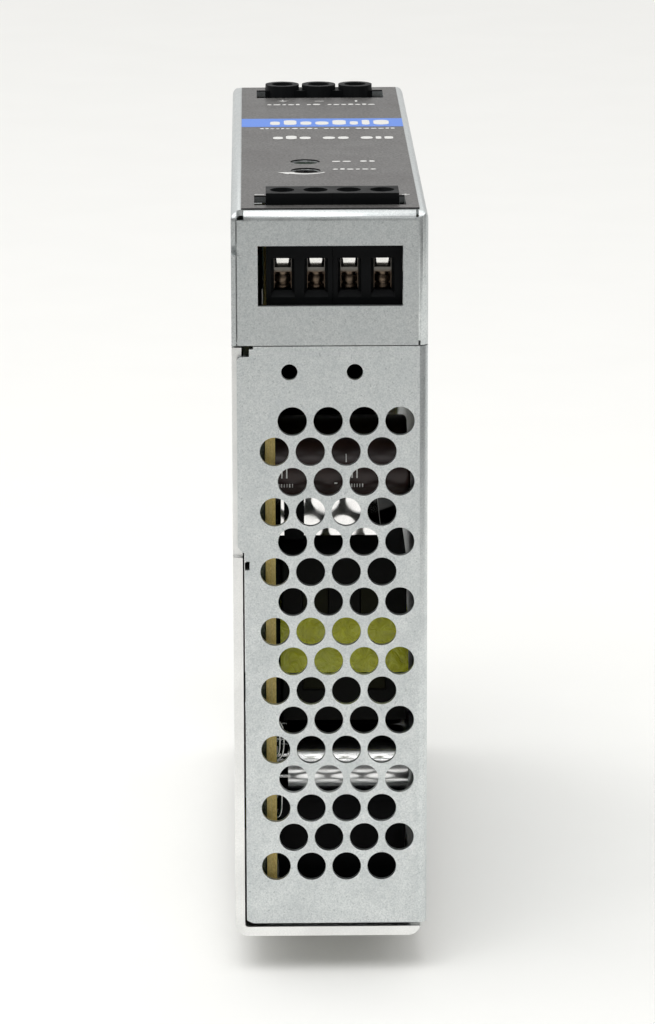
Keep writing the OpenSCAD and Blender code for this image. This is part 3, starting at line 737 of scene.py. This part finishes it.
def solder_joints():
    """Cones of solder with clipped leads on the board's left face."""
    board_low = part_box("circuit_board")[0]
    rows, row_pitch, first_row = 14, 8, 9
    columns, column_pitch, first_column = 13, 6.2, 4
    left_out = 0.35
    foot, tip, height = 1.1 * MM, 0.3 * MM, 1.1 * MM
    rng = random.Random(5)
    lean = Matrix.Rotation(math.radians(-90), 4, "Y")
    work = bmesh.new()
    for row in range(rows):
        for column in range(columns):
            if rng.random() < left_out:
                continue
            y = board_low.y + (first_row + row * row_pitch + rng.uniform(-2.5, 2.5)) * MM
            z = board_low.z + (first_column + column * column_pitch + rng.uniform(-2.0, 2.0)) * MM
            place = Matrix.Translation((board_low.x - 0.5 * MM, y, z)) @ lean
            size = rng.uniform(0.6, 1.0)
            bmesh.ops.create_cone(
                work,
                cap_ends=True,
                segments=10,
                radius1=size * foot,
                radius2=size * tip,
                depth=height,
                matrix=place,
            )
    add_piece("solder_joints", closed_mesh("solder_joints", work), TIN)


def film_lip():
    """Strip of film that closes the gap between the sheet's far fold and the board."""
    board_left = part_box("circuit_board")[0].x / MM
    film_low, film_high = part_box("insulating_sheet")
    width, depth = 0.56, 0.25
    inset = 0.3
    y = (film_high.y - CASE_NEAR) / MM - inset - depth / 2
    strip = bar(board_left - inset, y, width, depth)
    slabs("film_lip", [strip], film_low.z, film_high.z - film_low.z, FILM)


def latch_spring():
    """The latch's spring as a piece of its own that stays with the case, made from a copy of the
    CAD node's mesh; the node itself is hidden.
    """
    mesh = nodes["din_latch_spring"].data.copy()
    mesh.materials.clear()
    spring = add_piece("latch_spring", mesh, SPRING)
    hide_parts("din_latch_spring")
    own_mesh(spring)


wrapped_marks()
wire_leads()
solder_joints()
film_lip()
latch_spring()


# ---------------------------------------------------------------- floor, light and camera


# Brightness of the surroundings in front, behind and overhead
WORLD_FRONT = 0.10
WORLD_BACK = 0.72
WORLD_TOP = 0.71
WARM_WHITE = (1.0, 0.996, 0.985, 1)

# Each large light's place, the point it faces, its sides and its power in watts
LIGHTS = {
    "key": ((-1.1, 0.5, 1.3), (0, 0, 0.05), (1.2, 1.2), 3.5),
    "top": ((-0.2, -0.55, 1.1), (0, -0.05, 0.05), (0.9, 0.9), 6.8),
}

# Camera place in metres, its turn in degrees, its sensor and focal length in millimetres
CAMERA_PLACE = (-0.01177, -0.7581, 0.24864)
CAMERA_TURN = (75.975, 0.121, -0.963)
SENSOR_HEIGHT = 36
FOCAL_LENGTH = 164.3


def build_floor():
    mesh = bpy.data.meshes.new("floor")
    reach = 3.0
    corners = [(-reach, -reach, 0), (reach, -reach, 0), (reach, reach, 0), (-reach, reach, 0)]
    mesh.from_pydata(corners, [], [(0, 1, 2, 3)])
    mesh.materials.append(studio_floor())
    floor = bpy.data.objects.new("floor", mesh)
    bpy.context.scene.collection.objects.link(floor)


def area_light(name, place, target, size, power):
    light = bpy.data.lights.new(name, "AREA")
    light.shape = "RECTANGLE"
    light.size, light.size_y = size
    light.energy = power
    lamp = bpy.data.objects.new(name, light)
    lamp.location = place
    direction = Vector(target) - Vector(place)
    lamp.rotation_euler = direction.to_track_quat("-Z", "Y").to_euler()
    bpy.context.scene.collection.objects.link(lamp)


def build_light():
    """Bright surroundings behind and above, a dark room in front, and two large lights."""
    world = bpy.data.worlds.new("studio")
    bpy.context.scene.world = world
    world.use_nodes = True
    tree = world.node_tree
    sky = tree.nodes["Background"]
    direction = tree.nodes.new("ShaderNodeTexCoord")
    split = tree.nodes.new("ShaderNodeSeparateXYZ")
    tree.links.new(direction.outputs["Generated"], split.inputs[0])

    def ramp(value, low, high, to_low, to_high):
        node = tree.nodes.new("ShaderNodeMapRange")
        node.interpolation_type = "SMOOTHSTEP"
        settings = {"From Min": low, "From Max": high, "To Min": to_low, "To Max": to_high}
        for socket, number in settings.items():
            node.inputs[socket].default_value = number
        tree.links.new(value, node.inputs["Value"])
        return node.outputs["Result"]

    back = ramp(split.outputs["Y"], -0.35, 0.25, WORLD_FRONT, WORLD_BACK)
    above = ramp(split.outputs["Z"], 0.35, 0.85, 0.0, WORLD_TOP)
    total = tree.nodes.new("ShaderNodeMath")
    total.operation = "ADD"
    tree.links.new(back, total.inputs[0])
    tree.links.new(above, total.inputs[1])
    tree.links.new(total.outputs[0], sky.inputs["Strength"])
    sky.inputs["Color"].default_value = WARM_WHITE
    for name, settings in LIGHTS.items():
        area_light(name, *settings)


def build_camera():
    camera = bpy.data.cameras.new("camera")
    camera.sensor_fit = "VERTICAL"
    camera.sensor_height = SENSOR_HEIGHT
    camera.lens = FOCAL_LENGTH
    camera.clip_start = 0.01
    camera.clip_end = 20
    viewer = bpy.data.objects.new("camera", camera)
    viewer.location = CAMERA_PLACE
    viewer.rotation_euler = [math.radians(a) for a in CAMERA_TURN]
    bpy.context.scene.collection.objects.link(viewer)
    bpy.context.scene.camera = viewer


build_floor()
build_light()
build_camera()
bpy.context.scene.view_settings.view_transform = "Standard"
